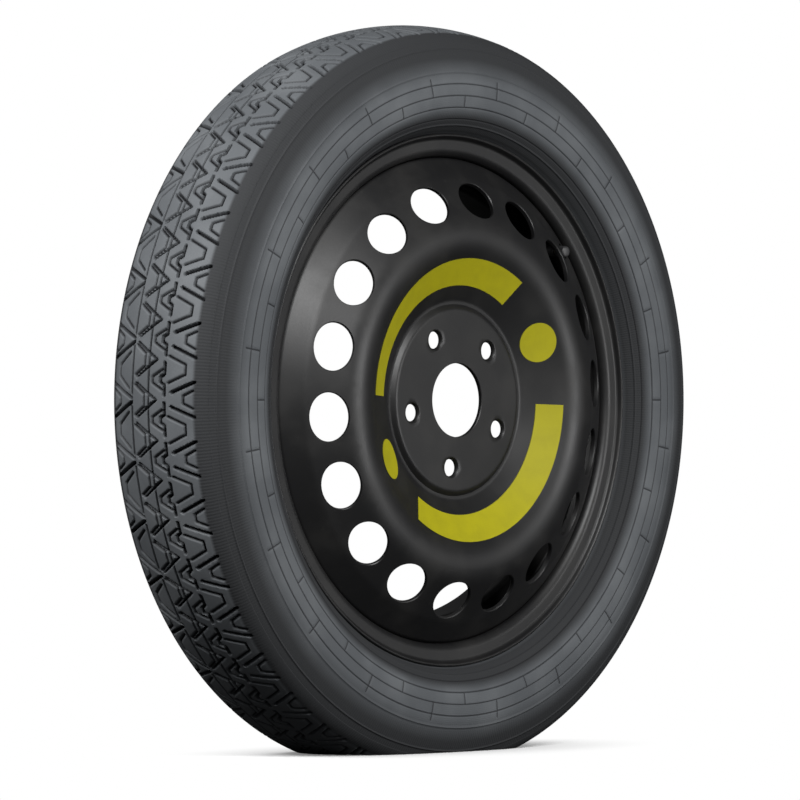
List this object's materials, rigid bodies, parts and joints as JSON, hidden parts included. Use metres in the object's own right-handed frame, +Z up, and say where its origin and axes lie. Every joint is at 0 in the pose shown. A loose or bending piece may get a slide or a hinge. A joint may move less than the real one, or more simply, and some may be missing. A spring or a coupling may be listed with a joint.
{
  "type": "temporary spare wheel",
  "caption": "Narrow temporary spare tyre on a black pressed-steel wheel with oval vents, a bolt circle, plain yellow labels and a rubber valve, standing upright on its tread.",
  "frame": {"origin": "centre of the hub bore on the face that bolts to the hub", "axes": "+Y along the axle towards the vehicle, -Y is the outboard face, +Z up with the tread's flat on the floor"},
  "size_m": [0.664, 0.1486, 0.642],
  "materials": {
    "tyre": "matt moulded rubber",
    "wheel_paint": "satin black dip paint",
    "label": "satin printed film",
    "valve_rubber": "smooth rubber",
    "brass": "machined",
    "seal": "soft rubber",
    "spring_steel": "drawn wire",
    "cap_plastic": "moulded"
  },
  "bodies": {
    "wheel": {"tyre": "tyre", "rim": "wheel_paint", "disc": "wheel_paint", "weld_seams": "wheel_paint", "valve_body": "valve_rubber", "valve_stem": "brass", "core_barrel": "brass", "core_gasket": "seal", "core_spring": "spring_steel", "label_upper_arc": "label", "label_lower_arc": "label", "label_round_right": "label", "label_round_left": "label"},
    "pin": {"core_pin": "brass", "core_pin_seal": "seal"},
    "seal": {"cap_seal": "seal"},
    "cap": {"valve_cap": "cap_plastic"}
  },
  "joints": [
    {"name": "pin_press", "type": "slide", "parent": "wheel", "child": "pin", "axis": [0.0787, 0.9945, 0.0696], "range_m": [0, 0.0012], "stiffness_N_per_m": 1500, "springref_m": -0.001, "deforming": ["core_spring"]},
    {"name": "cap_lift", "type": "slide", "parent": "wheel", "child": "seal", "axis": [-0.0787, -0.9945, -0.0696], "range_m": [0, 0.00794]},
    {"name": "cap_turn", "type": "hinge", "parent": "seal", "child": "cap", "pos_m": [0.1505, 0.00133, 0.13315], "axis": [-0.0787, -0.9945, -0.0696], "range_deg": [0, 3600]}
  ],
  "couplings": [
    {"joint": "cap_turn", "follows": "cap_lift", "rad_per_m": 7913.3}
  ]
}
